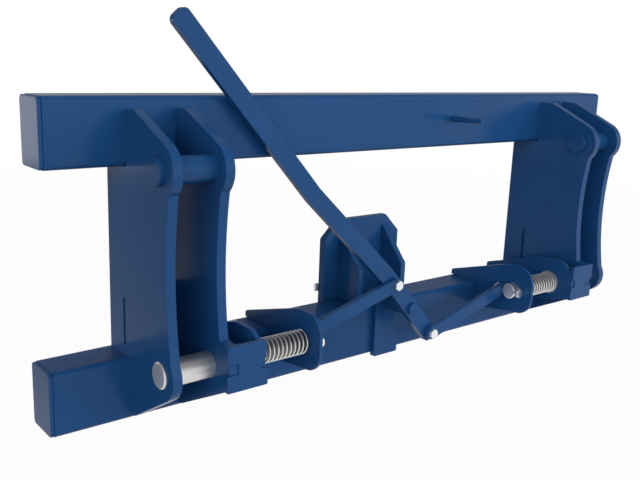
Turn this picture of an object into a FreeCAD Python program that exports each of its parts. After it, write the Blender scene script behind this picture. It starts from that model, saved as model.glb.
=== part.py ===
"""Loader adapter frame: two beams, two pairs of hook ears and a lever that draws both lock pins.

Millimetres, +X along the beams, +Y to the rear, +Z up. The origin is on the underside of the
bottom beam, at the middle of its length and of its depth.
"""
import FreeCAD, Part
import math
import os
import Sketcher
from FreeCAD import Rotation, Vector

os.makedirs("parts", exist_ok=True)
doc = FreeCAD.newDocument("AdapterFrame")

# Driving sizes. "Reach" is measured forward from the beams' front faces, "lap" behind them, and
# "height" up from the underside of the bottom beam.
SIZES = (
    ("frame_width", 1300.0, "over the end caps"),
    ("beam_height", 100.0, "beam section, vertical"),
    ("beam_depth", 70.0, "beam section, front to back"),
    ("beam_wall", 6.0, "wall of the rectangular tube"),
    ("beam_corner", 8.0, "outer corner radius of the tube"),
    ("beam_pitch", 390.0, "from beam to beam"),
    ("cap_thickness", 6.0, "end cap plate"),
    ("cap_inset", 1.0, "cap outline inside the tube's outline"),
    ("ear_centre", 480.0, "middle of the frame to the middle of an ear pair"),
    ("ear_gap", 65.0, "clear width between the two ears of a pair"),
    ("ear_thickness", 15.0, "ear plate"),
    ("ear_rear_lap", 62.0, "rear edge of the ears between the beams"),
    ("ear_top_rise", 82.5, "top of the ears above the top beam's underside"),
    ("ear_top_land", 30.0, "flat top of the ears in front of the beam"),
    ("ear_foot_height", 12.0, "bottom of the ears at the bottom beam"),
    ("ear_foot_land", 18.0, "flat foot of the ears in front of the beam"),
    ("ear_hollow_radius", 655.0, "shallow hollow between the two noses"),
    ("hook_reach", 101.0, "hook bar axis"),
    ("hook_rise", 7.0, "hook bar axis above the top beam's underside"),
    ("hook_nose_radius", 40.0, "upper nose of the ears"),
    ("hook_bar_diameter", 40.0, "hook bar"),
    ("hook_bar_proud", 9.0, "hook bar past the ears' outer faces"),
    ("lock_reach", 99.0, "lock pin axis"),
    ("lock_height", 106.0, "lock pin axis"),
    ("lock_nose_radius", 38.5, "lower nose of the ears"),
    ("lock_pin_diameter", 40.0, "lock pin in the ears"),
    ("lock_shank_diameter", 30.0, "lock pin inside its spring"),
    ("lock_pin_inner_end", 248.0, "middle of the frame to the pin's inner end"),
    ("lock_pin_lead", 2.0, "chamfer at the pin's outer end"),
    ("lock_shank_lead", 1.5, "chamfer at the pin's inner end"),
    ("lock_pin_proud", 3.0, "lock pin's outer end past the outer ear"),
    ("web_lap", 10.0, "front face of the web plate behind the beams' front faces"),
    ("web_thickness", 6.0, "web plate"),
    ("web_tab_low", 117.0, "bottom of the web plate's tabs"),
    ("web_tab_high", 192.0, "top of the web plate's tabs"),
    ("web_tab_recess", 5.0, "ends of those tabs below the ears' surfaces"),
    ("box_reach", 156.0, "front face of the box front plate"),
    ("box_plate", 8.0, "box front plate"),
    ("box_low", 78.5, "bottom of the box front plate"),
    ("box_high", 148.5, "top of the box front plate"),
    ("box_corner_radius", 2.0, "corners of the box front plate"),
    ("box_overhang", 3.5, "box front plate past the inner ear"),
    ("box_side_overhang", 3.0, "box front plate past the cheek plate, below its tab"),
    ("box_tab_low", 105.0, "bottom of the tabs through the box front plate"),
    ("box_tab_high", 121.0, "top of the tabs through the box front plate"),
    ("box_tab_recess", 2.2, "ends of those tabs below the plate's surface"),
    ("cheek_gap", 40.5, "clear width between the cheek plate and the inner ear"),
    ("cheek_thickness", 8.0, "cheek plate"),
    ("guide_inner", 266.0, "middle of the frame to the guide plate's near face"),
    ("guide_thickness", 6.0, "guide plate"),
    ("guide_reach", 142.0, "nose of the guide plate"),
    ("saddle_top", 156.0, "top edge of the cheek and guide plates"),
    ("saddle_top_reach", 80.0, "rear end of that top edge"),
    ("saddle_crest_radius", 50.0, "eased corner at that rear end"),
    ("saddle_nose_radius", 33.0, "upper rounding of the noses"),
    ("saddle_chin_radius", 34.0, "lower rounding of the guide plate's nose"),
    ("saddle_low", 60.0, "bottom of the guide plate's nose"),
    ("saddle_rear_lap", 69.0, "rear end of the saddle over the beam"),
    ("saddle_rear_rise", 11.0, "saddle above the beam at its rear end"),
    ("saddle_end_radius", 5.0, "rounded corner of the saddle's rear end"),
    ("saddle_foot", 47.0, "lower edge of the saddle at the beam"),
    ("collar_diameter", 46.0, "spring collar on the lock pin"),
    ("collar_thickness", 6.0, "spring collar"),
    ("spring_diameter", 41.0, "spring, over the wire"),
    ("spring_wire", 3.0, "spring wire"),
    ("spring_turns", 14.5, "turns of the spring"),
    ("lever_run", 10.0, "lean of the lever, sideways part"),
    ("lever_rise", 11.0, "lean of the lever, upward part"),
    ("lever_width", 31.0, "lever bar"),
    ("lever_thickness", 12.0, "lever bar"),
    ("lever_low_reach", 73.0, "front face of the lever's lower part"),
    ("lever_high_reach", 26.0, "front face of the lever's upper part"),
    ("lever_tail", 90.0, "lever below the pivot"),
    ("lever_bend_start", 93.6, "first bend above the pivot"),
    ("lever_bend_end", 298.8, "second bend above the pivot"),
    ("lever_length", 678.0, "top of the lever above the pivot"),
    ("lever_bend_radius", 18.0, "inside radius of the two bends"),
    ("lever_end_radius", 10.0, "rounded corners of the lever's ends"),
    ("lever_arm", 74.3, "pivot to each lever bolt"),
    ("pivot_diameter", 22.0, "pivot pin"),
    ("pivot_reach", 80.0, "front end of the pivot pin"),
    ("boss_diameter", 32.0, "pivot boss"),
    ("pivot_plate_width", 60.0, "pivot plate"),
    ("pivot_plate_thickness", 11.0, "pivot plate"),
    ("pivot_plate_drop", 3.0, "pivot plate below the beam"),
    ("pivot_plate_over", 22.0, "pivot plate above the pivot axis"),
    ("link_width", 24.0, "link bar"),
    ("link_thickness", 10.0, "link bar"),
    ("link_end", 8.5, "link past the lock pin's bolt"),
    ("link_end_radius", 8.0, "rounded corners of that end"),
    ("link_play", 0.5, "side play of the links"),
    ("eye_slack", 4.2, "play of the link's open eye, each way across the link"),
    ("eye_drift", 0.85, "play of that eye along the link"),
    ("cross_bolt_offset", 7.0, "lock pin's inner end to its bolt"),
    ("bolt_diameter", 10.0, "pivot bolts"),
    ("bolt_flats", 16.0, "bolt heads and nuts, across flats"),
    ("bolt_head", 6.4, "bolt head height"),
    ("nut_height", 8.0, "nut height"),
    ("bolt_tail", 5.0, "bolt past its nut"),
    ("washer_diameter", 16.0, "spacer under the cross bolt's head"),
    ("washer_thickness", 3.0, "that spacer"),
    ("bracket_half_width", 95.0, "middle of the frame to the bracket plate's edge"),
    ("bracket_top_half", 60.0, "half the width of the bracket plate's top edge"),
    ("bracket_thickness", 15.0, "bracket plate behind the beam"),
    ("bracket_low", 20.0, "bottom of the bracket plate"),
    ("bracket_shoulder", 217.0, "start of the bracket plate's slanted corners"),
    ("bracket_top", 252.0, "top of the bracket plate"),
    ("gusset_centre", 55.0, "middle of the frame to the middle of a gusset"),
    ("gusset_thickness", 12.0, "gusset"),
    ("gusset_top", 235.0, "top of the gussets at the bracket plate"),
    ("gusset_front_lap", 9.0, "front edge of the gussets"),
    ("strip_overhang", 6.0, "rear strip past the bracket plate's edge"),
    ("strip_length", 50.0, "rear strip"),
    ("strip_thickness", 6.0, "rear strip"),
    ("strip_low", 101.0, "bottom of the rear strip"),
    ("strip_high", 128.0, "top of the rear strip"),
    ("peg_offset", 154.0, "keeper peg from the middle of the frame"),
    ("peg_rise", 54.0, "keeper peg above the top beam's underside"),
    ("peg_diameter", 11.0, "keeper peg"),
    ("peg_length", 77.0, "keeper peg"),
    ("running_fit", 0.1, "bore over shaft, on the diameter"),
    ("weld_gap", 0.3, "slot round a plate's tab, and a loose seat"),
)

sheet = doc.addObject("Spreadsheet::Sheet", "Sizes")
for row, (alias, value, note) in enumerate(SIZES, start=1):
    sheet.set("A%d" % row, alias)
    sheet.set("B%d" % row, "%g" % value)
    sheet.set("C%d" % row, note)
    sheet.setAlias("B%d" % row, alias)
doc.recompute()


class Size:
    """A length that carries both its number and the expression that ties it to the sheet."""

    def __init__(self, number, text):
        self.number = number
        self.text = text

    def __add__(self, other):
        other = size(other)
        return Size(self.number + other.number, "(%s + %s)" % (self.text, other.text))

    def __sub__(self, other):
        other = size(other)
        return Size(self.number - other.number, "(%s - %s)" % (self.text, other.text))

    def __mul__(self, other):
        other = size(other)
        return Size(self.number * other.number, "(%s * %s)" % (self.text, other.text))

    def __truediv__(self, other):
        other = size(other)
        return Size(self.number / other.number, "(%s / %s)" % (self.text, other.text))

    def __radd__(self, other):
        return size(other) + self

    def __rsub__(self, other):
        return size(other) - self

    def __rmul__(self, other):
        return size(other) * self

    def __neg__(self):
        return Size(-self.number, "(0 - %s)" % self.text)


def size(value):
    """A plain number as a Size."""
    if isinstance(value, Size):
        return value
    return Size(float(value), "(%.9g)" % value if value < 0 else "%.9g" % value)


def root(value):
    """Square root of a Size."""
    return Size(math.sqrt(value.number), "sqrt(%s)" % value.text)


class Sheet:
    """The named sizes, as attributes."""


S = Sheet()
for alias, value, note in SIZES:
    setattr(S, alias, Size(value, "Sizes.%s" % alias))


def bind(item, path, value):
    """Ties one property of an object to a Size."""
    value = size(value)
    item.setExpression(path, value.text)


def new_body(label):
    """An empty body for one piece."""
    body = doc.addObject("PartDesign::Body", label)
    body.Label = label
    return body


def new_sketch(body, role, level):
    """A sketch on one of the body's origin planes, moved along the plane's normal by level."""
    sketch = body.newObject("Sketcher::SketchObject", body.Name + "_sketch")
    plane = [item for item in body.Origin.OriginFeatures if item.Role == role][0]
    sketch.AttachmentSupport = (plane, "")
    sketch.MapMode = "FlatFace"
    level = size(level)
    sketch.AttachmentOffset = FreeCAD.Placement(Vector(0, 0, level.number), Rotation())
    sketch.setExpression("AttachmentOffset.Base.z", level.text)
    return sketch


def fix_values(sketch, wanted):
    """Adds dimension constraints in one go, then ties each to its Size."""
    first = sketch.ConstraintCount
    sketch.addConstraint([Sketcher.Constraint(*(spec + (value.number,))) for spec, value in wanted])
    for number, (spec, value) in enumerate(wanted):
        if "Sizes." in value.text:
            sketch.setExpression("Constraints[%d]" % (first + number), value.text)


def trace(sketch, corners):
    """A closed outline. A corner (x, y) starts a straight edge, (x, y, r) an arc of radius r.

    A positive radius runs counter-clockwise about its centre and a negative one clockwise, and
    each arc turns by less than a half circle.
    """
    points = [(size(corner[0]), size(corner[1])) for corner in corners]
    edges = []
    wanted = []
    for number, corner in enumerate(corners):
        x0, y0 = points[number][0].number, points[number][1].number
        x1, y1 = [value.number for value in points[(number + 1) % len(points)]]
        if len(corner) == 2:
            geometry = Part.LineSegment(Vector(x0, y0, 0), Vector(x1, y1, 0))
            index = sketch.addGeometry(geometry, False)
            edges.append((index, 1, 2))
            continue
        radius = size(corner[2])
        turn = 1.0 if radius.number > 0 else -1.0
        span = math.hypot(x1 - x0, y1 - y0)
        rise = turn * math.sqrt(radius.number ** 2 - span ** 2 / 4.0) / span
        cx = (x0 + x1) / 2.0 - rise * (y1 - y0)
        cy = (y0 + y1) / 2.0 + rise * (x1 - x0)
        start = math.atan2(y0 - cy, x0 - cx)
        end = math.atan2(y1 - cy, x1 - cx)
        circle = Part.Circle(Vector(cx, cy, 0), Vector(0, 0, 1), abs(radius.number))
        if turn > 0:
            index = sketch.addGeometry(Part.ArcOfCircle(circle, start, end), False)
            edges.append((index, 1, 2))
        else:
            index = sketch.addGeometry(Part.ArcOfCircle(circle, end, start), False)
            edges.append((index, 2, 1))
        wanted.append((("Radius", index), radius if turn > 0 else -radius))
    joins = []
    for number, (index, first, last) in enumerate(edges):
        after, start, _ = edges[(number + 1) % len(edges)]
        joins.append(Sketcher.Constraint("Coincident", index, last, after, start))
        wanted.append((("DistanceX", -1, 1, index, first), points[number][0]))
        wanted.append((("DistanceY", -1, 1, index, first), points[number][1]))
    sketch.addConstraint(joins)
    fix_values(sketch, wanted)


def ring(sketch, x, y, diameter):
    """A full circle."""
    x, y, diameter = size(x), size(y), size(diameter)
    circle = Part.Circle(Vector(x.number, y.number, 0), Vector(0, 0, 1), diameter.number / 2.0)
    index = sketch.addGeometry(circle, False)
    fix_values(sketch, [
        (("DistanceX", -1, 1, index, 3), x),
        (("DistanceY", -1, 1, index, 3), y),
        (("Diameter", index), diameter),
    ])


def hexagon(sketch, x, y, flats):
    """A hexagon with two corners on the sketch's vertical."""
    half = flats * 0.5
    corner = flats * (1.0 / math.sqrt(3.0))
    trace(sketch, [
        (x, y + corner),
        (x - half, y + corner * 0.5),
        (x - half, y - corner * 0.5),
        (x, y - corner),
        (x + half, y - corner * 0.5),
        (x + half, y + corner * 0.5),
    ])


def pad(body, sketch, length):
    """Adds material from the sketch along its normal."""
    feature = body.newObject("PartDesign::Pad", body.Name + "_pad")
    feature.Profile = sketch
    feature.Length = size(length).number
    bind(feature, "Length", length)
    doc.recompute()
    return feature


def pocket(body, sketch, length):
    """Cuts from the sketch against its normal, and makes sure that something was cut."""
    before = body.Shape.Volume
    feature = body.newObject("PartDesign::Pocket", body.Name + "_pocket")
    feature.Profile = sketch
    feature.Length = size(length).number
    bind(feature, "Length", length)
    doc.recompute()
    if body.Shape.Volume >= before - 1.0:
        raise ValueError("nothing cut in " + body.Label)
    return feature


def dress(body, kind, amount, chosen):
    """A fillet or chamfer on the edges of the body's tip that the test picks."""
    base = body.Tip
    names = ["Edge%d" % (number + 1) for number, edge in enumerate(base.Shape.Edges) if chosen(edge)]
    if not names:
        raise ValueError("no edge to dress in " + body.Label)
    feature = body.newObject("PartDesign::" + kind, body.Name + "_" + kind.lower())
    feature.Base = (base, names)
    path = "Radius" if kind == "Fillet" else "Size"
    setattr(feature, path, size(amount).number)
    bind(feature, path, amount)
    doc.recompute()
    return feature


def along(axis, *places):
    """Picks straight edges that run along one axis through the given places across it."""
    others = [number for number in range(3) if number != axis]

    def test(edge):
        a, b = edge.firstVertex().Point, edge.lastVertex().Point
        if len(edge.Vertexes) != 2 or abs(a[axis] - b[axis]) < 0.5:
            return False
        if any(abs(a[other] - b[other]) > 1e-4 for other in others):
            return False
        return any(all(abs(a[other] - size(want).number) < 0.02 for other, want in zip(others, place))
                   for place in places)

    return test


def span(side, near, far):
    """Low end and width, along X, of what lies from near to far on one side of the frame."""
    return (near if side > 0 else -far), far - near


front = S.beam_depth * -0.5
lock_bore = S.lock_pin_diameter + S.running_fit
shank_bore = S.lock_shank_diameter + S.running_fit
bolt_bore = S.bolt_diameter + S.running_fit
hook_y = front - S.hook_reach
hook_z = S.beam_pitch + S.hook_rise
lock_y = front - S.lock_reach
ear_near = S.ear_centre - S.ear_gap * 0.5
ear_far = S.ear_centre + S.ear_gap * 0.5
SIDES = (("left", -1), ("right", 1))


# Beams: rectangular tubes with rounded corners, each closed by two plates set in from its outline.
def rounded_box(sketch, low_x, high_x, low_y, high_y, radius):
    """A rectangle with quarter-circle corners."""
    trace(sketch, [
        (low_x + radius, low_y),
        (high_x - radius, low_y, radius),
        (high_x, low_y + radius),
        (high_x, high_y - radius, radius),
        (high_x - radius, high_y),
        (low_x + radius, high_y, radius),
        (low_x, high_y - radius),
        (low_x, low_y + radius, radius),
    ])


tube_end = S.frame_width * 0.5 - S.cap_thickness
for label, base in (("bottom_beam", size(0)), ("top_beam", S.beam_pitch)):
    beam = new_body(label)
    outline = new_sketch(beam, "YZ_Plane", -tube_end)
    rounded_box(outline, front, -front, base, base + S.beam_height, S.beam_corner)
    pad(beam, outline, tube_end * 2.0)
    hollow = new_sketch(beam, "YZ_Plane", tube_end)
    wall = S.beam_wall
    rounded_box(hollow, front + wall, -front - wall, base + wall, base + S.beam_height - wall,
                S.beam_corner - wall * 0.7)
    pocket(beam, hollow, tube_end * 2.0)
    for name, side in SIDES:
        cap = new_body("%s_cap_%s" % (label.replace("_beam", ""), name))
        low, width = span(side, tube_end, S.frame_width * 0.5)
        outline = new_sketch(cap, "YZ_Plane", low)
        inset = S.cap_inset
        rounded_box(outline, front + inset, -front - inset, base + inset, base + S.beam_height - inset,
                    S.beam_corner - inset)
        pad(cap, outline, width)


# Ears: plates with a hook nose above and a lock nose below, joined by a shallow hollow. The outer
# ear's foot rises straight to the lower nose, the inner ear's runs on to the box front plate and
# ends in a tab there.
def touch(px, py, cx, cy, radius, turn):
    """The point where a line from (px, py) touches a circle about (cx, cy)."""
    dx, dy = px - cx, py - cy
    square = dx * dx + dy * dy
    share = radius * radius / square
    cross = radius * root(square - radius * radius) / square * turn
    return cx + share * dx - cross * dy, cy + share * dy + cross * dx


top_z = S.beam_pitch + S.ear_top_rise
upper = touch(front - S.ear_top_land, top_z, hook_y, hook_z, S.hook_nose_radius, 1)
upper_exit = (hook_y - S.hook_nose_radius * 0.67, hook_z - S.hook_nose_radius * 0.74236)
lower_entry = (lock_y - S.lock_nose_radius * 0.842, S.lock_height + S.lock_nose_radius * 0.53948)
foot = (front - S.ear_foot_land, S.ear_foot_height)
lower = touch(foot[0], foot[1], lock_y, S.lock_height, S.lock_nose_radius, -1)
nose_left = (lock_y - S.lock_nose_radius, S.lock_height)
box_back = front - S.box_reach + S.box_plate
tab_end = front - S.box_reach + S.box_tab_recess

for name, side in SIDES:
    for label, near in (("ear_inner_", ear_near - S.ear_thickness), ("ear_outer_", ear_far)):
        inner = label == "ear_inner_"
        ear = new_body(label + name)
        low, width = span(side, near, near + S.ear_thickness)
        outline = new_sketch(ear, "YZ_Plane", low)
        corners = [
            (front + S.ear_rear_lap, S.beam_height),
            (front + S.ear_rear_lap, S.beam_pitch),
            (front, S.beam_pitch),
            (front, top_z),
            (front - S.ear_top_land, top_z),
            (upper[0], upper[1], S.hook_nose_radius),
            (upper_exit[0], upper_exit[1], -S.ear_hollow_radius),
        ]
        if inner:
            corners += [
                (front - S.hook_reach - S.hook_nose_radius * 0.675, S.box_high + 1.5),
                (box_back, S.box_high - 1.5),
                (box_back, S.box_tab_high - S.weld_gap),
                (tab_end, S.box_tab_high - S.weld_gap),
                (tab_end, S.box_tab_low + S.weld_gap),
                (box_back, S.box_tab_low + S.weld_gap),
                (box_back, S.box_low + S.weld_gap),
            ]
        else:
            corners += [
                (lower_entry[0], lower_entry[1], S.lock_nose_radius),
                (lower[0], lower[1]),
            ]
        corners += [
            foot,
            (front, S.ear_foot_height),
            (front, S.beam_height),
        ]
        trace(outline, corners)
        pad(ear, outline, width)
        cuts = new_sketch(ear, "YZ_Plane", low + width)
        ring(cuts, hook_y, hook_z, S.hook_bar_diameter + S.running_fit)
        ring(cuts, lock_y, S.lock_height, lock_bore)
        gap = S.weld_gap
        trace(cuts, [
            (front + S.web_lap - gap, S.web_tab_low - gap),
            (front + S.web_lap + S.web_thickness + gap, S.web_tab_low - gap),
            (front + S.web_lap + S.web_thickness + gap, S.web_tab_high + gap),
            (front + S.web_lap - gap, S.web_tab_high + gap),
        ])
        pocket(ear, cuts, width)

    # Web plate between the two ears. A tab on each side sits in an ear's slot, short of its surface.
    web = new_body("web_plate_" + name)
    outline = new_sketch(web, "XZ_Plane", -(front + S.web_lap + S.web_thickness))
    inner_x, outer_x = ear_near * side, ear_far * side
    inner_tab = (ear_near - S.ear_thickness + S.web_tab_recess) * side
    outer_tab = (ear_far + S.ear_thickness - S.web_tab_recess) * side
    trace(outline, [
        (inner_x, S.beam_height),
        (outer_x, S.beam_height),
        (outer_x, S.web_tab_low),
        (outer_tab, S.web_tab_low),
        (outer_tab, S.web_tab_high),
        (outer_x, S.web_tab_high),
        (outer_x, S.beam_pitch),
        (inner_x, S.beam_pitch),
        (inner_x, S.web_tab_high),
        (inner_tab, S.web_tab_high),
        (inner_tab, S.web_tab_low),
        (inner_x, S.web_tab_low),
    ])
    pad(web, outline, S.web_thickness)

    # Hook bar through both noses.
    low, width = span(side, ear_near - S.ear_thickness - S.hook_bar_proud,
                      ear_far + S.ear_thickness + S.hook_bar_proud)
    bar = new_body("hook_bar_" + name)
    section = new_sketch(bar, "YZ_Plane", low)
    ring(section, hook_y, hook_z, S.hook_bar_diameter)
    pad(bar, section, width)
    dress(bar, "Chamfer", 1.0, lambda edge: len(edge.Vertexes) == 1)


# Saddle plates on the bottom beam: the cheek plate closes the spring box and lets the lock pin
# through, the guide plate carries the spring's fixed end and the pin's shank.
cheek_outer = ear_near - S.ear_thickness - S.cheek_gap
cheek_inner = cheek_outer - S.cheek_thickness
guide_outer = S.guide_inner + S.guide_thickness
guide_nose = front - S.guide_reach
for name, side in SIDES:
    for label, near, far, nose in (("cheek_plate_", cheek_inner, cheek_outer, box_back),
                                   ("guide_plate_", S.guide_inner, guide_outer, guide_nose)):
        plate = new_body(label + name)
        low, width = span(side, near, far)
        outline = new_sketch(plate, "YZ_Plane", low)
        corners = [
            (front + S.saddle_rear_lap, S.beam_height),
            (front + S.saddle_rear_lap, S.beam_height + S.saddle_rear_rise),
            (front - S.saddle_top_reach, S.saddle_top),
            (nose + S.saddle_nose_radius, S.saddle_top, S.saddle_nose_radius),
            (nose, S.saddle_top - S.saddle_nose_radius),
        ]
        if label == "cheek_plate_":
            corners += [
                (nose, S.box_tab_high - S.weld_gap),
                (tab_end, S.box_tab_high - S.weld_gap),
                (tab_end, S.box_tab_low + S.weld_gap),
                (nose, S.box_tab_low + S.weld_gap),
                (nose, S.box_low + S.weld_gap),
            ]
            bore = lock_bore
        else:
            corners += [
                (nose, S.saddle_low + S.saddle_chin_radius, S.saddle_chin_radius),
                (nose + S.saddle_chin_radius, S.saddle_low),
            ]
            bore = shank_bore
        corners += [
            (front, S.saddle_foot),
            (front, S.beam_height),
        ]
        trace(outline, corners)
        pad(plate, outline, width)
        cuts = new_sketch(plate, "YZ_Plane", low + width)
        ring(cuts, lock_y, S.lock_height, bore)
        pocket(plate, cuts, width)
        dress(plate, "Fillet", S.saddle_end_radius, along(
            0, (front + S.saddle_rear_lap, S.beam_height + S.saddle_rear_rise)))
        dress(plate, "Fillet", S.saddle_crest_radius, along(0, (front - S.saddle_top_reach, S.saddle_top)))

    # Box front plate, notched at both sides for the tabs of the cheek plate and the inner ear. Below
    # the cheek plate's tab it stands a little past that plate.
    face = new_body("box_front_plate_" + name)
    outline = new_sketch(face, "XZ_Plane", -box_back)
    step = (cheek_inner - S.box_side_overhang) * side
    near = cheek_inner * side
    near_notch = (cheek_outer + S.weld_gap) * side
    far = (ear_near + S.box_overhang) * side
    far_notch = (ear_near - S.ear_thickness - S.weld_gap) * side
    trace(outline, [
        (step, S.box_low),
        (far, S.box_low),
        (far, S.box_tab_low),
        (far_notch, S.box_tab_low),
        (far_notch, S.box_tab_high),
        (far, S.box_tab_high),
        (far, S.box_high),
        (near, S.box_high),
        (near, S.box_tab_high),
        (near_notch, S.box_tab_high),
        (near_notch, S.box_tab_low),
        (step, S.box_tab_low),
    ])
    pad(face, outline, S.box_plate)
    dress(face, "Fillet", S.box_corner_radius, along(
        1, (step, S.box_low), (far, S.box_low), (far, S.box_high), (near, S.box_high)))


# Lock pins, each with its collar, spring and cross bolt.
cross_x = S.lock_pin_inner_end + S.cross_bolt_offset
pin_front = lock_y - S.lock_shank_diameter * 0.5
shoulder = cheek_inner - S.weld_gap
link_front = front - S.lever_low_reach - S.link_play - S.link_thickness
link_rear = front - S.lever_low_reach - S.link_play
collar_inner = cheek_inner - S.collar_thickness
pin_end = ear_far + S.ear_thickness + S.lock_pin_proud


def hinge_bolt(label, x, z, seat, nut, spacer):
    """A hexagon bolt along Y: head forward of its seat, nut behind, a spacer under the head."""
    bolt = new_body(label)
    length = nut + S.nut_height + S.bolt_tail - seat
    shank = new_sketch(bolt, "XZ_Plane", -(seat + length))
    ring(shank, x, z, S.bolt_diameter)
    pad(bolt, shank, length + S.bolt_head * 0.5)
    if spacer is not None:
        disc = new_sketch(bolt, "XZ_Plane", -seat)
        ring(disc, x, z, S.washer_diameter)
        pad(bolt, disc, spacer)
        seat = seat - spacer
    head = new_sketch(bolt, "XZ_Plane", -seat)
    hexagon(head, x, z, S.bolt_flats)
    pad(bolt, head, S.bolt_head)
    back = new_sketch(bolt, "XZ_Plane", -(nut + S.nut_height))
    hexagon(back, x, z, S.bolt_flats)
    pad(bolt, back, S.nut_height)
    return bolt


springs = []
for name, side in SIDES:
    pin = new_body("lock_pin_" + name)
    low, width = span(side, shoulder, pin_end)
    section = new_sketch(pin, "YZ_Plane", low)
    ring(section, lock_y, S.lock_height, S.lock_pin_diameter)
    pad(pin, section, width)
    low, width = span(side, S.lock_pin_inner_end, shoulder + S.cheek_thickness)
    section = new_sketch(pin, "YZ_Plane", low)
    ring(section, lock_y, S.lock_height, S.lock_shank_diameter)
    pad(pin, section, width)
    cross = new_sketch(pin, "XZ_Plane", -(pin_front - 1.0))
    ring(cross, cross_x * side, S.lock_height, bolt_bore)
    pocket(pin, cross, S.lock_shank_diameter + 2.0)
    dress(pin, "Chamfer", S.lock_pin_lead,
          lambda edge: edge.BoundBox.XLength < 0.01 and abs(abs(edge.BoundBox.XMin) - pin_end.number) < 0.01)
    dress(pin, "Chamfer", S.lock_shank_lead, lambda edge: edge.BoundBox.XLength < 0.01
          and abs(abs(edge.BoundBox.XMin) - S.lock_pin_inner_end.number) < 0.01)

    collar = new_body("pin_collar_" + name)
    low, width = span(side, collar_inner, shoulder)
    section = new_sketch(collar, "YZ_Plane", low)
    ring(section, lock_y, S.lock_height, S.collar_diameter)
    ring(section, lock_y, S.lock_height, shank_bore)
    pad(collar, section, width)

    hinge_bolt("pin_bolt_" + name, cross_x * side, S.lock_height, pin_front, link_rear + S.weld_gap,
               S.washer_thickness)

    # Spring: a wire swept along a helix about the lock pin's axis, in twelve chords to the turn so
    # that its many coils stay light.
    mean = (S.spring_diameter.number - S.spring_wire.number) / 2.0
    length = (collar_inner - guide_outer - S.weld_gap * 2.0 - S.spring_wire).number
    steps = int(round(S.spring_turns.number * 12))
    rise = length / steps
    path = Part.makePolygon([Vector(mean * math.cos(step * math.pi / 6), mean * math.sin(step * math.pi / 6),
                                    step * rise) for step in range(steps + 1)])
    wire = S.spring_wire.number * 0.54
    section = Part.makePolygon([Vector(mean + wire * math.cos(corner * math.pi / 3), 0,
                                       wire * math.sin(corner * math.pi / 3)) for corner in range(7)])
    spring = doc.addObject("Part::Feature", "spring_" + name)
    spring.Label = "spring_" + name
    spring.Shape = path.makePipeShell([section], True, False, 1)
    start = (guide_outer + S.weld_gap + S.spring_wire * 0.5).number
    spring.Placement = FreeCAD.Placement(
        Vector(start if side > 0 else -(start + length), lock_y.number, S.lock_height.number),
        Rotation(Vector(0, 1, 0), 90))
    springs.append(spring)


# Lever: a flat bar cranked rearward so that it passes close in front of the top beam. It is drawn
# upright, as a side view, and leaned over about the pivot.
lever_front = front - S.lever_low_reach
lever_top_front = front - S.lever_high_reach
crank_step = lever_top_front - lever_front
crank_rise = S.lever_bend_end - S.lever_bend_start
crank = root(crank_step * crank_step + crank_rise * crank_rise)
back_drop = S.lever_thickness * (crank - crank_rise) / crank_step
lever = new_body("lever")
outline = new_sketch(lever, "YZ_Plane", S.lever_width * -0.5)
thick = S.lever_thickness
trace(outline, [
    (lever_front + thick, -S.lever_tail),
    (lever_front + thick, S.lever_bend_start - back_drop),
    (lever_top_front + thick, S.lever_bend_end - back_drop),
    (lever_top_front + thick, S.lever_length),
    (lever_top_front, S.lever_length),
    (lever_top_front, S.lever_bend_end),
    (lever_front, S.lever_bend_start),
    (lever_front, -S.lever_tail),
])
pad(lever, outline, S.lever_width)
holes = new_sketch(lever, "XZ_Plane", -lever_front)
ring(holes, 0, 0, S.pivot_diameter + S.running_fit)
ring(holes, 0, S.lever_arm, bolt_bore)
ring(holes, 0, -S.lever_arm, bolt_bore)
pocket(lever, holes, thick)
dress(lever, "Fillet", S.lever_bend_radius, along(
    0, (lever_front + thick, S.lever_bend_start - back_drop), (lever_top_front, S.lever_bend_end)))
dress(lever, "Fillet", S.lever_bend_radius + thick, along(
    0, (lever_front, S.lever_bend_start), (lever_top_front + thick, S.lever_bend_end - back_drop)))
half = S.lever_width * 0.5
dress(lever, "Fillet", S.lever_end_radius, along(
    1, (-half, S.lever_length), (half, S.lever_length), (-half, -S.lever_tail), (half, -S.lever_tail)))
lean = math.degrees(math.atan2(S.lever_run.number, S.lever_rise.number))
lever.Placement = FreeCAD.Placement(Vector(0, 0, 0), Rotation(Vector(0, 1, 0), -lean))
lever.setExpression("Placement.Rotation.Angle", "atan2(Sizes.lever_run; Sizes.lever_rise)")
lever.Placement.Rotation = Rotation(Vector(0, -1, 0), lean)
bind(lever, "Placement.Base.z", S.lock_height)

# Lever bolts, one each side of the pivot on the lever's centre line.
lean_length = root(S.lever_run * S.lever_run + S.lever_rise * S.lever_rise)
bolt_x = S.lever_arm * S.lever_run / lean_length
bolt_z = S.lever_arm * S.lever_rise / lean_length
for label, sign in (("lever_bolt_upper", 1), ("lever_bolt_lower", -1)):
    hinge_bolt(label, bolt_x * -sign, S.lock_height + bolt_z * sign, link_front - S.weld_gap,
               lever_front + thick, None)

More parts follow.
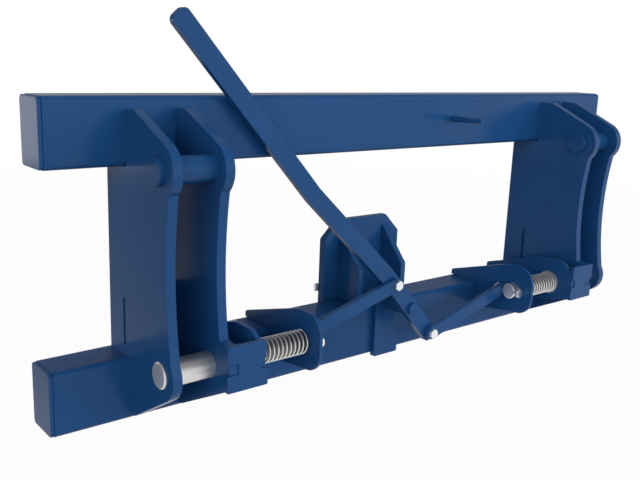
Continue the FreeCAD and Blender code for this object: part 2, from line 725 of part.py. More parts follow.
# Links: flat bars from the cross bolts to the lever bolts. The eye at the lever is long across the
# link, since the mechanism is opened there.
link_run = cross_x - bolt_x
link_length = root(link_run * link_run + bolt_z * bolt_z)
link_lean = math.degrees(math.atan2(bolt_z.number, link_run.number))
for name, side in SIDES:
    link = new_body("link_" + name)
    toward = -side
    outline = new_sketch(link, "XZ_Plane", -link_rear)
    half = S.link_width * 0.5
    corners = [
        (S.link_end * -toward, -half),
        (link_length * toward, -half, half),
        ((link_length + half) * toward, size(0), half),
        (link_length * toward, half),
        (S.link_end * -toward, half),
    ]
    if toward < 0:
        corners = [
            (S.link_end * -toward, half),
            (link_length * toward, half, half),
            ((link_length + half) * toward, size(0), half),
            (link_length * toward, -half),
            (S.link_end * -toward, -half),
        ]
    trace(outline, corners)
    pad(link, outline, S.link_thickness)
    dress(link, "Fillet", S.link_end_radius, along(
        1, (S.link_end * -toward, half), (S.link_end * -toward, -half)))
    eyes = new_sketch(link, "XZ_Plane", -link_front)
    ring(eyes, 0, 0, bolt_bore)
    eye = S.bolt_diameter * 0.5 + S.eye_drift
    reach = S.eye_slack - S.eye_drift + 0.1
    centre = link_length * toward
    trace(eyes, [
        (centre + eye, -reach),
        (centre + eye, reach, eye),
        (centre, reach + eye, eye),
        (centre - eye, reach),
        (centre - eye, -reach, eye),
        (centre, -reach - eye, eye),
    ])
    pocket(link, eyes, S.link_thickness)
    link.Placement = FreeCAD.Placement(Vector(0, 0, 0), Rotation(Vector(0, -1, 0), link_lean))
    link.setExpression("Placement.Rotation.Angle", "atan2(%s; %s)" % (bolt_z.text, link_run.text))
    bind(link, "Placement.Base.x", cross_x * side)
    bind(link, "Placement.Base.z", S.lock_height)

# Pivot: a plate on the beam's front, a boss that spaces the lever off it, and the pivot pin.
plate = new_body("pivot_plate")
outline = new_sketch(plate, "XZ_Plane", -front)
half = S.pivot_plate_width * 0.5
plate_top = S.lock_height + S.pivot_plate_over
trace(outline, [
    (-half, -S.pivot_plate_drop),
    (half, -S.pivot_plate_drop),
    (half, plate_top),
    (-half, plate_top),
])
pad(plate, outline, S.pivot_plate_thickness)
dress(plate, "Fillet", 3.0, along(1, (-half, -S.pivot_plate_drop), (half, -S.pivot_plate_drop)))
dress(plate, "Fillet", 14.0, along(1, (-half, plate_top), (half, plate_top)))

boss_back = front - S.pivot_plate_thickness
boss_front = lever_front + thick + S.weld_gap
boss = new_body("pivot_boss")
section = new_sketch(boss, "XZ_Plane", -boss_back)
ring(section, 0, S.lock_height, S.boss_diameter)
ring(section, 0, S.lock_height, S.pivot_diameter + S.running_fit)
pad(boss, section, boss_back - boss_front)

pivot = new_body("pivot_pin")
section = new_sketch(pivot, "XZ_Plane", -boss_back)
ring(section, 0, S.lock_height, S.pivot_diameter)
pad(pivot, section, boss_back - (front - S.pivot_reach))
dress(pivot, "Chamfer", 1.5, lambda edge: len(edge.Vertexes) == 1
      and abs(edge.BoundBox.YMin - (front - S.pivot_reach).number) < 0.01)

# Centre bracket: a plate behind the bottom beam and two gussets on the beam in front of it.
bracket_front = -front
back_plate = new_body("bracket_back_plate")
outline = new_sketch(back_plate, "XZ_Plane", -(bracket_front + S.bracket_thickness))
trace(outline, [
    (-S.bracket_half_width, S.bracket_low),
    (S.bracket_half_width, S.bracket_low),
    (S.bracket_half_width, S.bracket_shoulder),
    (S.bracket_top_half, S.bracket_top),
    (-S.bracket_top_half, S.bracket_top),
    (-S.bracket_half_width, S.bracket_shoulder),
])
pad(back_plate, outline, S.bracket_thickness)
gusset_front = front + S.gusset_front_lap
for name, side in SIDES:
    gusset = new_body("bracket_gusset_" + name)
    half = S.gusset_thickness * 0.5
    low, width = span(side, S.gusset_centre - half, S.gusset_centre + half)
    outline = new_sketch(gusset, "YZ_Plane", low)
    rise = S.gusset_top - S.beam_height
    depth = bracket_front - gusset_front
    bends = [
        (bracket_front - depth * 0.38, S.beam_height + rise * 0.77),
        (bracket_front - depth * 0.85, S.beam_height + rise * 0.62),
        (gusset_front, S.beam_height + rise * 0.46),
    ]
    trace(outline, [
        (bracket_front, S.beam_height),
        (bracket_front, S.gusset_top),
        bends[0],
        bends[1],
        bends[2],
        (gusset_front, S.beam_height),
    ])
    pad(gusset, outline, width)
    dress(gusset, "Fillet", 14.0, along(0, *bends))

strip = doc.addObject("Part::Box", "rear_strip")
strip.Label = "rear_strip"
bind(strip, "Length", S.strip_length)
bind(strip, "Width", S.strip_thickness)
bind(strip, "Height", S.strip_high - S.strip_low)
bind(strip, "Placement.Base.x", -S.bracket_half_width - S.strip_overhang)
bind(strip, "Placement.Base.y", bracket_front + S.bracket_thickness)
bind(strip, "Placement.Base.z", S.strip_low)

# Keeper peg on the front of the top beam, with a bevelled end.
peg = new_body("keeper_peg")
section = new_sketch(peg, "XZ_Plane", -front)
ring(section, S.peg_offset, S.beam_pitch + S.peg_rise, S.peg_diameter)
pad(peg, section, S.peg_length)
dress(peg, "Chamfer", 1.5, lambda edge: len(edge.Vertexes) == 1
      and abs(edge.BoundBox.YMin - (front - S.peg_length).number) < 0.01)

doc.recompute()

# Every object is sound before anything is written.
for item in doc.Objects:
    if "Invalid" in item.State or "Error" in item.State:
        raise ValueError("%s is %s" % (item.Label, item.State))
pieces = [item for item in doc.Objects if item.TypeId == "PartDesign::Body"] + springs + [strip]
for piece in pieces:
    if piece.Shape.isNull() or not piece.Shape.isValid() or len(piece.Shape.Solids) != 1:
        raise ValueError("%s is not one sound solid" % piece.Label)
for piece in pieces:
    piece.Shape.exportStep("parts/%s.step" % piece.Label)
print("%d pieces" % len(pieces))
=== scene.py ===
import math

import bpy
import numpy as np
from mathutils import Matrix, Vector


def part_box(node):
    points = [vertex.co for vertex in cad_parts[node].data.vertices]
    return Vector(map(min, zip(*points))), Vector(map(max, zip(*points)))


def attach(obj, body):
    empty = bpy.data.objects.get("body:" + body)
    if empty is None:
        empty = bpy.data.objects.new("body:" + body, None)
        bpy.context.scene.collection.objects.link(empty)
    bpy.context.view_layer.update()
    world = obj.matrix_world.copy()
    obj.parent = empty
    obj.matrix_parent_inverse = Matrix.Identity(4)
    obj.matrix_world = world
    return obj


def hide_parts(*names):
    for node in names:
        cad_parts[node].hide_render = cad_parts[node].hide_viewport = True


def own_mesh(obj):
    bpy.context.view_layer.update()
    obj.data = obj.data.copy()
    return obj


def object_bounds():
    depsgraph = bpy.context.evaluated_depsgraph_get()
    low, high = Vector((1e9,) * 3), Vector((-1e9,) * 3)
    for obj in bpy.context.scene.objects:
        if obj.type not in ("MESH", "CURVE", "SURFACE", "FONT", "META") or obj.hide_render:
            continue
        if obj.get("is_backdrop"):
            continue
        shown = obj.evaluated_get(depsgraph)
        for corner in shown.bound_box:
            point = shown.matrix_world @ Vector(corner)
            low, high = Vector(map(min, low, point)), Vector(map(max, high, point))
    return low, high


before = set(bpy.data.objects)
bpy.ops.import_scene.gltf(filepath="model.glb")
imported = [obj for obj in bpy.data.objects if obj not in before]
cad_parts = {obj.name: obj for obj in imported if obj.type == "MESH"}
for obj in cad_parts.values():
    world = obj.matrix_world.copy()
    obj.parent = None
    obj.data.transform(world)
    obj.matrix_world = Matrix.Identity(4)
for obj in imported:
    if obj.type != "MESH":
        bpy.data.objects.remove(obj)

cad_low, cad_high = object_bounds()
scene = bpy.context.scene
scene.view_settings.view_transform = "Standard"


# Blue paint: one sprayed coat over every welded part, the lever and the links. It is a deep blue
# gloss, a little uneven in depth, with the faint ripple that a spray gun leaves.
def sprayed_group():
    """Colour and roughness drift with one broad noise, and a fine noise gives the ripple's height."""
    group = bpy.data.node_groups.new("sprayed_coat", "ShaderNodeTree")
    face = group.interface
    for name, kind in (("Color", "Color"), ("Drift", "Float"), ("Roughness", "Float"), ("Grain", "Float")):
        face.new_socket(name=name, in_out="INPUT", socket_type="NodeSocket" + kind)
    for name, kind in (("Color", "Color"), ("Roughness", "Float"), ("Height", "Float")):
        face.new_socket(name=name, in_out="OUTPUT", socket_type="NodeSocket" + kind)
    nodes, links = group.nodes, group.links
    given = nodes.new("NodeGroupInput")
    result = nodes.new("NodeGroupOutput")
    where = nodes.new("ShaderNodeTexCoord")
    broad = nodes.new("ShaderNodeTexNoise")
    broad.inputs["Scale"].default_value = 7.0
    broad.inputs["Detail"].default_value = 4.0
    links.new(where.outputs["Object"], broad.inputs["Vector"])
    fine = nodes.new("ShaderNodeTexNoise")
    fine.inputs["Detail"].default_value = 2.0
    links.new(where.outputs["Object"], fine.inputs["Vector"])
    links.new(given.outputs["Grain"], fine.inputs["Scale"])
    links.new(fine.outputs["Fac"], result.inputs["Height"])
    centred = nodes.new("ShaderNodeMath")
    centred.operation = "SUBTRACT"
    centred.inputs[1].default_value = 0.5
    links.new(broad.outputs["Fac"], centred.inputs[0])
    depth = nodes.new("ShaderNodeMath")
    depth.operation = "MULTIPLY_ADD"
    depth.inputs[2].default_value = 1.0
    links.new(centred.outputs[0], depth.inputs[0])
    links.new(given.outputs["Drift"], depth.inputs[1])
    shade = nodes.new("ShaderNodeVectorMath")
    shade.operation = "SCALE"
    links.new(given.outputs["Color"], shade.inputs[0])
    links.new(depth.outputs[0], shade.inputs["Scale"])
    links.new(shade.outputs[0], result.inputs["Color"])
    rough = nodes.new("ShaderNodeMath")
    rough.operation = "MULTIPLY_ADD"
    rough.inputs[1].default_value = 0.12
    links.new(centred.outputs[0], rough.inputs[0])
    links.new(given.outputs["Roughness"], rough.inputs[2])
    links.new(rough.outputs[0], result.inputs["Roughness"])
    return group


sprayed_coat = sprayed_group()


def gloss_paint(name, color, roughness):
    """Paint of that colour, with the sprayed coat's drift and ripple."""
    material = bpy.data.materials.new(name)
    material.use_nodes = True
    nodes, links = material.node_tree.nodes, material.node_tree.links
    shader = nodes["Principled BSDF"]
    shader.inputs["Specular IOR Level"].default_value = 0.17
    coat = nodes.new("ShaderNodeGroup")
    coat.node_tree = sprayed_coat
    coat.inputs["Color"].default_value = (*color, 1)
    coat.inputs["Drift"].default_value = 0.35
    coat.inputs["Roughness"].default_value = roughness
    coat.inputs["Grain"].default_value = 420.0
    links.new(coat.outputs["Color"], shader.inputs["Base Color"])
    links.new(coat.outputs["Roughness"], shader.inputs["Roughness"])
    ripple = nodes.new("ShaderNodeBump")
    ripple.inputs["Distance"].default_value = 0.0002
    ripple.inputs["Strength"].default_value = 0.05
    links.new(coat.outputs["Height"], ripple.inputs["Height"])
    links.new(ripple.outputs["Normal"], shader.inputs["Normal"])
    return material


blue_paint = gloss_paint("blue_gloss_paint", (0.011, 0.067, 0.205), 0.21)


def finish_piece(node, material, edge):
    """Eases a node's sharp edges to the given radius and gives it one material."""
    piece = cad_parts[node]
    piece.data.materials.clear()
    piece.data.materials.append(material)
    for face in piece.data.polygons:
        face.use_smooth = True
    weld = piece.modifiers.new("weld", "WELD")
    weld.merge_threshold = 0.00001
    flat = piece.modifiers.new("flat", "DECIMATE")
    flat.decimate_type = "DISSOLVE"
    flat.angle_limit = math.radians(0.6)
    soft_edges(piece, edge)
    return piece


def soft_edges(piece, edge):
    """Rounds the edges sharper than 35 degrees to that radius."""
    bevel = piece.modifiers.new("edge", "BEVEL")
    bevel.width = edge
    bevel.segments = 2
    bevel.limit_method = "ANGLE"
    bevel.angle_limit = math.radians(35.0)
    bevel.harden_normals = True
    normals = piece.modifiers.new("normals", "WEIGHTED_NORMAL")
    normals.keep_sharp = True


# Beams: two rectangular steel tubes with rounded corners. A plate is welded in each open end and
# stands a little inside the tube's outline.
SIDES = (("left", -1), ("right", 1))
for name in ("top_beam", "bottom_beam"):
    finish_piece(name, blue_paint, 0.0006)
for side, _ in SIDES:
    for name in ("top_cap", "bottom_cap"):
        finish_piece(f"{name}_{side}", blue_paint, 0.0012)

# Ears: thick flame-cut plates that hook over the loader's carrier, with a web plate between the two
# of a pair and a round bar through their upper noses.
for side, _ in SIDES:
    for name in ("ear_outer", "ear_inner"):
        finish_piece(f"{name}_{side}", blue_paint, 0.0010)
    finish_piece(f"hook_bar_{side}", blue_paint, 0.0006)


def tabbed_plate(node, low_z, high_z, tab_low, tab_high, tab):
    """A flat outline with a tab in the middle of each upright edge, carried through the plate's
    depth: every corner appears once in front and once behind."""
    low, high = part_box(node)
    near, far = low.x + tab, high.x - tab
    outline = [(near, low_z), (far, low_z), (far, tab_low), (high.x, tab_low), (high.x, tab_high),
               (far, tab_high), (far, high_z), (near, high_z), (near, tab_high), (low.x, tab_high),
               (low.x, tab_low), (near, tab_low)]
    count = len(outline)
    points = [(x, low.y, z) for x, z in outline] + [(x, high.y, z) for x, z in outline]
    around = [(i, i + count, (i + 1) % count + count, (i + 1) % count) for i in range(count)]
    mesh = bpy.data.meshes.new(node + "_short")
    mesh.from_pydata(points, [], [tuple(range(count)), tuple(range(2 * count - 1, count - 1, -1))] + around)
    mesh.update()
    plate = bpy.data.objects.new(node + "_short", mesh)
    scene.collection.objects.link(plate)
    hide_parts(node)
    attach(plate, "frame")
    plate.data.materials.append(blue_paint)
    soft_edges(plate, 0.0006)
    return plate


for side, _ in SIDES:
    tabbed_plate(f"web_plate_{side}", 0.1003, 0.2055, 0.117, 0.192, 0.010)

# Spring boxes: a cheek plate and a guide plate saddle the bottom beam, and a front plate with two
# notches closes the box beside the inner ear.
for side, _ in SIDES:
    for name in ("cheek_plate", "guide_plate"):
        finish_piece(f"{name}_{side}", blue_paint, 0.0008)
    finish_piece(f"box_front_plate_{side}", blue_paint, 0.0004)


# Lock pins: turned round bar with a thinner shank, bare and bright, darkened inside the spring
# by grease and painted shade. A collar on the shank stops against the cheek plate and takes the spring.
def turned_group():
    """Fine rings across an axis along X: one noise stretched across it gives tone and roughness."""
    group = bpy.data.node_groups.new("turned_rings", "ShaderNodeTree")
    face = group.interface
    for name, kind in (("Color", "Color"), ("Roughness", "Float"), ("Rings", "Float")):
        face.new_socket(name=name, in_out="INPUT", socket_type="NodeSocket" + kind)
    for name, kind in (("Color", "Color"), ("Roughness", "Float")):
        face.new_socket(name=name, in_out="OUTPUT", socket_type="NodeSocket" + kind)
    nodes, links = group.nodes, group.links
    given = nodes.new("NodeGroupInput")
    result = nodes.new("NodeGroupOutput")
    where = nodes.new("ShaderNodeTexCoord")
    split = nodes.new("ShaderNodeSeparateXYZ")
    links.new(where.outputs["Object"], split.inputs[0])
    count = nodes.new("ShaderNodeMath")
    count.operation = "MULTIPLY"
    links.new(split.outputs["X"], count.inputs[0])
    links.new(given.outputs["Rings"], count.inputs[1])
    join = nodes.new("ShaderNodeCombineXYZ")
    links.new(count.outputs[0], join.inputs["X"])
    rings = nodes.new("ShaderNodeTexNoise")
    rings.inputs["Scale"].default_value = 1.0
    rings.inputs["Detail"].default_value = 3.0
    links.new(join.outputs[0], rings.inputs["Vector"])
    stain = nodes.new("ShaderNodeTexNoise")
    stain.inputs["Scale"].default_value = 45.0
    stain.inputs["Detail"].default_value = 4.0
    links.new(where.outputs["Object"], stain.inputs["Vector"])
    tone = nodes.new("ShaderNodeMath")
    tone.operation = "MULTIPLY_ADD"
    tone.inputs[1].default_value = 0.18
    tone.inputs[2].default_value = 0.82
    links.new(rings.outputs["Fac"], tone.inputs[0])
    spot = nodes.new("ShaderNodeMath")
    spot.operation = "MULTIPLY_ADD"
    spot.inputs[1].default_value = 0.16
    links.new(stain.outputs["Fac"], spot.inputs[0])
    links.new(tone.outputs[0], spot.inputs[2])
    shade = nodes.new("ShaderNodeVectorMath")
    shade.operation = "SCALE"
    links.new(given.outputs["Color"], shade.inputs[0])
    links.new(spot.outputs[0], shade.inputs["Scale"])
    links.new(shade.outputs[0], result.inputs["Color"])
    rough = nodes.new("ShaderNodeMath")
    rough.operation = "MULTIPLY_ADD"
    rough.inputs[1].default_value = 0.14
    links.new(rings.outputs["Fac"], rough.inputs[0])
    links.new(given.outputs["Roughness"], rough.inputs[2])
    links.new(rough.outputs[0], result.inputs["Roughness"])
    return group


turned_rings = turned_group()


def bare_metal(name, color, roughness, rings):
    """Metal of that colour with the turned rings' tone and roughness."""
    material = bpy.data.materials.new(name)
    material.use_nodes = True
    nodes, links = material.node_tree.nodes, material.node_tree.links
    shader = nodes["Principled BSDF"]
    shader.inputs["Metallic"].default_value = 1.0
    finish = nodes.new("ShaderNodeGroup")
    finish.node_tree = turned_rings
    finish.inputs["Color"].default_value = (*color, 1)
    finish.inputs["Roughness"].default_value = roughness
    finish.inputs["Rings"].default_value = rings
    links.new(finish.outputs["Color"], shader.inputs["Base Color"])
    links.new(finish.outputs["Roughness"], shader.inputs["Roughness"])
    return material


def grease_and_painted_shade(material, start, end, share):
    """Where |x| lies between start and end the colour is scaled to that share, as grease and painted shade."""
    nodes, links = material.node_tree.nodes, material.node_tree.links
    where = nodes.new("ShaderNodeTexCoord")
    split = nodes.new("ShaderNodeSeparateXYZ")
    links.new(where.outputs["Object"], split.inputs[0])
    along = nodes.new("ShaderNodeMath")
    along.operation = "ABSOLUTE"
    links.new(split.outputs["X"], along.inputs[0])
    inside = nodes.new("ShaderNodeMath")
    inside.operation = "COMPARE"
    inside.inputs[1].default_value = (start + end) / 2
    inside.inputs[2].default_value = (end - start) / 2
    links.new(along.outputs[0], inside.inputs[0])
    dark = nodes.new("ShaderNodeMath")
    dark.operation = "MULTIPLY_ADD"
    dark.inputs[1].default_value = share - 1.0
    dark.inputs[2].default_value = 1.0
    links.new(inside.outputs[0], dark.inputs[0])
    shader = nodes["Principled BSDF"]
    shade = nodes.new("ShaderNodeVectorMath")
    shade.operation = "SCALE"
    links.new(shader.inputs["Base Color"].links[0].from_socket, shade.inputs[0])
    links.new(dark.outputs[0], shade.inputs["Scale"])
    links.new(shade.outputs[0], shader.inputs["Base Color"])
    return material


low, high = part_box("spring_right")
# The shank inside the spring is darkened to 0.3 of its colour: grease and painted shade.
pin_steel = grease_and_painted_shade(bare_metal("turned_pin_steel", (0.79, 0.78, 0.76), 0.36, 900.0), low.x, high.x, 0.3)
for side, _ in SIDES:
    finish_piece(f"lock_pin_{side}", pin_steel, 0.0004)
    finish_piece(f"pin_collar_{side}", pin_steel, 0.0004)


# Cross bolts: zinc-plated hexagon bolts through the lock pins' shanks, each with a spacer under the
# head and a nut on a short end of thread.
def hexagon_bolt(name, node, spacer):
    """Rings round an axis along Y. A hexagon ring's radius is half the flats over the cosine of the
    angle from the nearest flat, cut to the ring's own limit, and a thread ring's radius rises and
    falls linearly with the angle and the place along the axis."""
    low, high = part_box(node)
    flats, shank, pitch, depth = 0.0168, 0.005, 0.0015, 0.0007
    head, nut, tail, easing = 0.0064, 0.008, 0.005, 0.0009
    corner = flats / math.sqrt(3.0)
    seat = low.y + head
    nut_back = high.y - tail
    nut_front = nut_back - nut
    rings = [(low.y, flats * 0.47, 0), (low.y + easing * 0.35, flats * 0.515, 0), (low.y + easing, corner, 0),
             (seat, corner, 0)]
    if spacer:
        rings += [(seat, flats * 0.5, 1), (seat + spacer, flats * 0.5, 1)]
    rings += [(seat + spacer, shank, 1), (nut_front, shank, 1),
              (nut_front, flats * 0.47, 0), (nut_front + easing * 0.35, flats * 0.515, 0),
              (nut_front + easing, corner, 0), (nut_back - easing, corner, 0),
              (nut_back - easing * 0.35, flats * 0.515, 0), (nut_back, flats * 0.47, 0)]
    rings += [(place, shank, 2) for place in np.linspace(nut_back, high.y - easing, 34)]
    rings += [(high.y, shank - easing, 1)]
    place, limit, kind = (np.array(column)[:, None] for column in zip(*rings))
    steps = 96
    angle = np.linspace(0.0, 2.0 * math.pi, steps, endpoint=False)[None, :]
    sector = (angle + math.pi / 6) % (math.pi / 3) - math.pi / 6
    wave = np.abs(((place / pitch + angle / (2 * math.pi)) % 1.0) * 2 - 1)
    radius = np.where(kind == 0, np.minimum(flats / 2 / np.cos(sector), limit),
                      np.where(kind == 2, limit - depth * wave, limit + 0 * angle))
    points = np.stack([(low.x + high.x) / 2 + radius * np.cos(angle), np.broadcast_to(place, radius.shape),
                       (low.z + high.z) / 2 + radius * np.sin(angle)], -1)
    row = np.arange(len(rings) - 1)[:, None] * steps
    here = np.arange(steps)[None, :]
    after = (here + 1) % steps
    sides = np.stack([row + here, row + steps + here, row + steps + after, row + after], -1).reshape(-1, 4)
    last = len(rings) * steps
    ends = [list(range(steps)), list(range(last - 1, last - steps - 1, -1))]
    mesh = bpy.data.meshes.new(name)
    mesh.from_pydata(points.reshape(-1, 3).tolist(), [], sides.tolist() + ends)
    mesh.update()
    bolt = bpy.data.objects.new(name, mesh)
    scene.collection.objects.link(bolt)
    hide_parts(node)
    return bolt


zinc = bare_metal("zinc_plate", (0.90, 0.91, 0.93), 0.30, 300.0)
for side, _ in SIDES:
    bolt = hexagon_bolt(f"cross_bolt_{side}", f"pin_bolt_{side}", 0.003)
    bolt.data.materials.append(zinc)
    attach(bolt, f"lock_pin_{side}")


# Springs: cold-wound round wire on each lock pin's shank, between the guide plate and the collar.
def coil(name, start, end, middle, radius, wire, turns):
    """A round section swept along a helix: the angle grows evenly with the place along X, and the
    section's circle lies across the wire in the outward and sideways directions."""
    steps, corners = int(turns * 30), 12
    share = np.linspace(0.0, 1.0, steps + 1)
    angle = 2 * math.pi * turns * share
    sign = 1.0 if end > start else -1.0
    x = start + sign * wire / 2 + (end - start - sign * wire) * share
    line = np.stack([x, middle[0] + radius * np.cos(angle), middle[1] + radius * np.sin(angle)], 1)
    outward = np.stack([np.zeros_like(share), np.cos(angle), np.sin(angle)], 1)
    tangent = np.gradient(line, axis=0)
    tangent /= np.linalg.norm(tangent, axis=1)[:, None]
    sideways = np.cross(tangent, outward)
    turn = np.linspace(0.0, 2 * math.pi, corners, endpoint=False)[None, :, None]
    points = line[:, None, :] + wire / 2 * (np.cos(turn) * outward[:, None, :]
                                            + np.sin(turn) * sideways[:, None, :])
    row = np.arange(steps)[:, None] * corners
    here = np.arange(corners)[None, :]
    after = (here + 1) % corners
    sides = np.stack([row + here, row + after, row + corners + after, row + corners + here], -1).reshape(-1, 4)
    ends = [list(range(corners - 1, -1, -1)), list(range(steps * corners, (steps + 1) * corners))]
    mesh = bpy.data.meshes.new(name)
    mesh.from_pydata(points.reshape(-1, 3).tolist(), [], sides.tolist() + ends)
    mesh.update()
    mesh.shade_smooth()
    piece = bpy.data.objects.new(name, mesh)
    scene.collection.objects.link(piece)
    return piece


spring_steel = bare_metal("spring_wire_steel", (0.80, 0.79, 0.77), 0.32, 60.0)
for side, sign in SIDES:
    node = f"spring_{side}"
    low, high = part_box(node)
    fixed, free = (low.x, high.x) if sign > 0 else (high.x, low.x)
    middle = ((low.y + high.y) / 2, (low.z + high.z) / 2)
    spring = coil(f"coil_{side}", fixed, free, middle, 0.0188, 0.0032, 12.7)
    spring.data.materials.append(spring_steel)
    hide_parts(node)
    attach(spring, "frame")
    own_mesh(spring)

# Lever: one flat bar, cranked rearward above its pivot. Two bolts on its centre line carry the
# links, which are flat bars too.
finish_piece("lever", blue_paint, 0.0012)
for name in ("upper", "lower"):
    bolt = hexagon_bolt(f"link_bolt_{name}", f"lever_bolt_{name}", 0.0)
    bolt.data.materials.append(zinc)
    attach(bolt, "lever")
for side, _ in SIDES:
    finish_piece(f"link_{side}", blue_paint, 0.0010)

# Pivot: a thick plate on the bottom beam's front, a boss that spaces the lever off it and the
# pivot pin, all welded and painted.
finish_piece("pivot_plate", blue_paint, 0.0008)
finish_piece("pivot_boss", blue_paint, 0.0004)
finish_piece("pivot_pin", blue_paint, 0.0005)

# Centre bracket: a plate behind the bottom beam, two gussets in front of it and a short bare strip
# behind it.
finish_piece("bracket_back_plate", blue_paint, 0.0010)


def sloped_gusset(node, slope_end, corner):
    """An outline in Y and Z carried through the node's width: up the rear edge, straight down a slope
    to that point, then a quarter ellipse into the upright front edge."""
    low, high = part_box(node)
    turn = np.linspace(0.0, 1.0, 7)[1:] * math.pi / 2
    bend = [(slope_end[0] - (slope_end[0] - low.y) * math.sin(angle), slope_end[1] - corner * (1 - math.cos(angle)))
            for angle in turn]
    outline = [(high.y, low.z), (high.y, high.z), slope_end] + bend + [(low.y, low.z)]
    count = len(outline)
    points = [(low.x, y, z) for y, z in outline] + [(high.x, y, z) for y, z in outline]
    around = [(i + 1, i, i + count, i + 1 + count) if i + 1 < count else (0, i, i + count, count)
              for i in range(count)]
    mesh = bpy.data.meshes.new(node + "_sloped")
    mesh.from_pydata(points, [], [tuple(range(count)), tuple(range(2 * count - 1, count - 1, -1))] + around)
    mesh.update()
    gusset = bpy.data.objects.new(node + "_sloped", mesh)
    scene.collection.objects.link(gusset)
    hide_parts(node)
    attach(gusset, "frame")
    gusset.data.materials.append(blue_paint)
    soft_edges(gusset, 0.0010)
    return gusset


for side, _ in SIDES:
    sloped_gusset(f"bracket_gusset_{side}", (-0.0205, 0.172), 0.012)


def short_strip(node, height):
    """A block with the node's width and depth, cut to that height below the node's upper edge."""
    low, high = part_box(node)
    base = high.z - height
    points = [(x, y, z) for z in (base, high.z) for x, y in ((low.x, low.y), (high.x, low.y),
                                                             (high.x, high.y), (low.x, high.y))]
    mesh = bpy.data.meshes.new(node + "_short")
    mesh.from_pydata(points, [], [(3, 2, 1, 0), (4, 5, 6, 7), (0, 1, 5, 4), (1, 2, 6, 5), (2, 3, 7, 6), (3, 0, 4, 7)])
    mesh.update()
    strip = bpy.data.objects.new(node + "_short", mesh)
    scene.collection.objects.link(strip)
    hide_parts(node)
    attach(strip, "frame")
    strip.data.materials.append(bare_metal("bare_strip_steel", (0.93, 0.97, 1.0), 0.45, 40.0))
    soft_edges(strip, 0.0006)
    return strip


short_strip("rear_strip", 0.014)

# Keeper peg: round bar on the front of the top beam.
finish_piece("keeper_peg", blue_paint, 0.0005)


# Studio: a pale floor, a room that is white round the horizon, dim overhead and gives a broad light low
# in front, and a low light panel behind the left end that the end plates mirror.
def pale_floor(half, height):
    """A square sheet z = height over |x| and |y| up to half."""
    mesh = bpy.data.meshes.new("floor")
    mesh.from_pydata([(-half, -half, height), (half, -half, height), (half, half, height), (-half, half, height)],
                     [], [(0, 1, 2, 3)])
    sheet = bpy.data.objects.new("floor", mesh)
    scene.collection.objects.link(sheet)
    material = bpy.data.materials.new("pale_floor")
    material.use_nodes = True
    nodes, links = material.node_tree.nodes, material.node_tree.links
    nodes.clear()
    out = nodes.new("ShaderNodeOutputMaterial")
    ground = nodes.new("ShaderNodeBsdfPrincipled")
    ground.inputs["Base Color"].default_value = (0.33, 0.33, 0.33, 1)
    ground.inputs["Roughness"].default_value = 0.9
    ground.inputs["Specular IOR Level"].default_value = 0.1
    bright = nodes.new("ShaderNodeEmission")
    bright.inputs["Color"].default_value = (1, 1, 1, 1)
    bright.inputs["Strength"].default_value = 1.0
    where = nodes.new("ShaderNodeTexCoord")
    away = nodes.new("ShaderNodeVectorMath")
    away.operation = "LENGTH"
    links.new(where.outputs["Object"], away.inputs[0])
    fade = nodes.new("ShaderNodeMapRange")
    fade.inputs["From Min"].default_value = 1.2
    fade.inputs["From Max"].default_value = 3.5
    fade.inputs["To Min"].default_value = 0.97
    links.new(away.outputs["Value"], fade.inputs["Value"])
    split = nodes.new("ShaderNodeSeparateXYZ")
    links.new(where.outputs["Object"], split.inputs[0])
    ahead = nodes.new("ShaderNodeMapRange")
    ahead.interpolation_type = "SMOOTHSTEP"
    ahead.inputs["From Min"].default_value = -0.3
    ahead.inputs["From Max"].default_value = 0.3
    ahead.inputs["To Min"].default_value = 0.88
    links.new(split.outputs["Y"], ahead.inputs["Value"])
    beside = nodes.new("ShaderNodeMapRange")
    beside.interpolation_type = "SMOOTHSTEP"
    beside.inputs["From Min"].default_value = -1.1
    beside.inputs["From Max"].default_value = -0.4
    beside.inputs["To Min"].default_value = 0.08
    beside.inputs["To Max"].default_value = 0.55
    links.new(split.outputs["X"], beside.inputs["Value"])
    links.new(beside.outputs["Result"], ahead.inputs["To Max"])
    share = white_rays(nodes, links, fade.outputs["Result"], ahead.outputs["Result"])
    mix = nodes.new("ShaderNodeMixShader")
    links.new(share, mix.inputs[0])
    links.new(ground.outputs[0], mix.inputs[1])
    links.new(bright.outputs[0], mix.inputs[2])
    links.new(mix.outputs[0], out.inputs["Surface"])
    sheet.data.materials.append(material)
    return sheet


def white_rays(nodes, links, seen, mirrored):
    """The seen share for camera and transmission rays, plus the mirrored share for glossy rays."""
    rays = nodes.new("ShaderNodeLightPath")
    direct = nodes.new("ShaderNodeMath")
    direct.operation = "ADD"
    links.new(rays.outputs["Is Camera Ray"], direct.inputs[0])
    links.new(rays.outputs["Is Transmission Ray"], direct.inputs[1])
    scaled = nodes.new("ShaderNodeMath")
    scaled.operation = "MULTIPLY"
    links.new(direct.outputs[0], scaled.inputs[0])
    links.new(seen, scaled.inputs[1])
    total = nodes.new("ShaderNodeMath")
    total.operation = "MULTIPLY_ADD"
    total.use_clamp = True
    links.new(mirrored, total.inputs[1])
    links.new(rays.outputs["Is Glossy Ray"], total.inputs[0])
    links.new(scaled.outputs[0], total.inputs[2])
    return total.outputs[0]


pale_floor(30.0, cad_low.z - 0.0005)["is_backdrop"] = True

world = bpy.data.worlds.new("studio")
scene.world = world
world.use_nodes = True
nodes, links = world.node_tree.nodes, world.node_tree.links
nodes.clear()
out = nodes.new("ShaderNodeOutputWorld")
where = nodes.new("ShaderNodeTexCoord")
split = nodes.new("ShaderNodeSeparateXYZ")
links.new(where.outputs["Generated"], split.inputs[0])


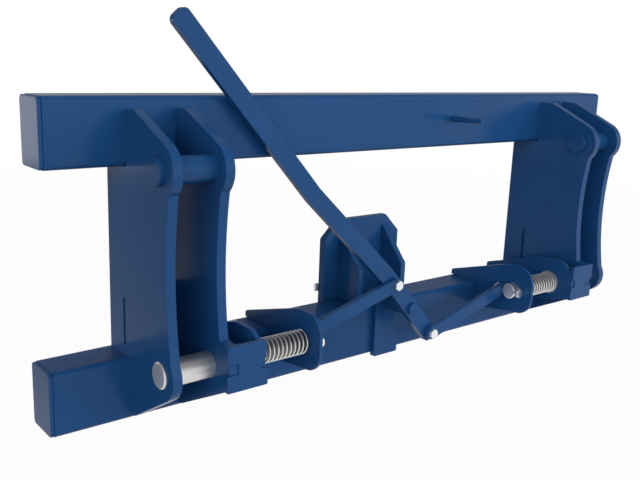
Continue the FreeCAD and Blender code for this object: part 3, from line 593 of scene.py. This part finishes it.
def slope(source, start, end, first, last):
    """A smooth step between two grey levels as the source goes from start to end."""
    step = nodes.new("ShaderNodeMapRange")
    step.interpolation_type = "SMOOTHSTEP"
    for name, value in (("From Min", start), ("From Max", end), ("To Min", first), ("To Max", last)):
        step.inputs[name].default_value = value
    links.new(source, step.inputs["Value"])
    return step


toward = slope(split.outputs["Y"], -0.15, 0.10, 1.0, 0.0).outputs["Result"]
lowered = nodes.new("ShaderNodeMath")
lowered.operation = "MULTIPLY_ADD"
lowered.inputs[1].default_value = -0.28
links.new(toward, lowered.inputs[0])
links.new(split.outputs["Z"], lowered.inputs[2])
haze = slope(lowered.outputs[0], 0.04, 0.16, 1.0, 0.26)
links.new(slope(split.outputs["Y"], -0.15, 0.10, 1.0, 0.5).outputs["Result"], haze.inputs["To Min"])
mirrored = nodes.new("ShaderNodeBackground")
links.new(haze.outputs["Result"], mirrored.inputs["Color"])
lighting = nodes.new("ShaderNodeBackground")
front = nodes.new("ShaderNodeMath")
front.operation = "MULTIPLY"
links.new(toward, front.inputs[0])
links.new(slope(split.outputs["Z"], 0.40, 0.70, 1.0, 0.0).outputs["Result"], front.inputs[1])
level = nodes.new("ShaderNodeMath")
level.operation = "MULTIPLY_ADD"
level.inputs[1].default_value = 2.35
level.inputs[2].default_value = 0.12
links.new(front.outputs[0], level.inputs[0])
behind = nodes.new("ShaderNodeMath")
behind.operation = "MULTIPLY"
links.new(slope(split.outputs["X"], -0.05, 0.25, 0.0, 1.0).outputs["Result"], behind.inputs[0])
links.new(slope(split.outputs["Y"], 0.05, 0.35, 0.0, 1.0).outputs["Result"], behind.inputs[1])
total = nodes.new("ShaderNodeMath")
total.operation = "MULTIPLY_ADD"
total.inputs[1].default_value = 1.5
links.new(behind.outputs[0], total.inputs[0])
links.new(level.outputs[0], total.inputs[2])
links.new(total.outputs[0], lighting.inputs["Color"])
backdrop = nodes.new("ShaderNodeBackground")
backdrop.inputs["Color"].default_value = (1, 1, 1, 1)
rays = nodes.new("ShaderNodeLightPath")
room = nodes.new("ShaderNodeMixShader")
links.new(rays.outputs["Is Glossy Ray"], room.inputs[0])
links.new(lighting.outputs[0], room.inputs[1])
links.new(mirrored.outputs[0], room.inputs[2])
direct = nodes.new("ShaderNodeMath")
direct.operation = "ADD"
direct.use_clamp = True
links.new(rays.outputs["Is Camera Ray"], direct.inputs[0])
links.new(rays.outputs["Is Transmission Ray"], direct.inputs[1])
mix = nodes.new("ShaderNodeMixShader")
links.new(direct.outputs[0], mix.inputs[0])
links.new(room.outputs[0], mix.inputs[1])
links.new(backdrop.outputs[0], mix.inputs[2])
links.new(mix.outputs[0], out.inputs["Surface"])

for name, place, target, width, depth, power in (
        ("rear_panel", (-1.08, 1.25, 0.45), (-0.66, 0.0, 0.44), 0.45, 0.5, 0.98),):
    lamp = bpy.data.objects.new(name, bpy.data.lights.new(name, "AREA"))
    scene.collection.objects.link(lamp)
    lamp.data.shape = "RECTANGLE"
    lamp.data.size = width
    lamp.data.size_y = depth
    lamp.data.energy = power
    lamp.location = place
    lamp.rotation_euler = (Vector(place) - Vector(target)).to_track_quat("Z", "Y").to_euler()

# Camera: in front of the frame and to its left, a little above the top beam and rolled by two
# degrees, as the photograph's parallel edges give it.
azimuth, elevation, roll = (math.radians(angle) for angle in (-39.2636, 13.1938, -2.1936))
back = Vector((math.sin(azimuth) * math.cos(elevation), -math.cos(azimuth) * math.cos(elevation),
               math.sin(elevation)))
level = (-back).cross(Vector((0, 0, 1))).normalized()
plumb = (-back).cross(level)
right = level * math.cos(roll) + plumb * math.sin(roll)
down = plumb * math.cos(roll) - level * math.sin(roll)
camera = bpy.data.objects.new("camera", bpy.data.cameras.new("camera"))
scene.collection.objects.link(camera)
camera.matrix_world = Matrix((right, -down, back)).transposed().to_4x4()
camera.location = (-1.0272, -1.0910, 0.5596)
camera.data.sensor_width = 36.0
camera.data.lens = 45.064
camera.data.clip_start, camera.data.clip_end = 0.05, 80.0
scene.camera = camera

low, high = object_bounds()
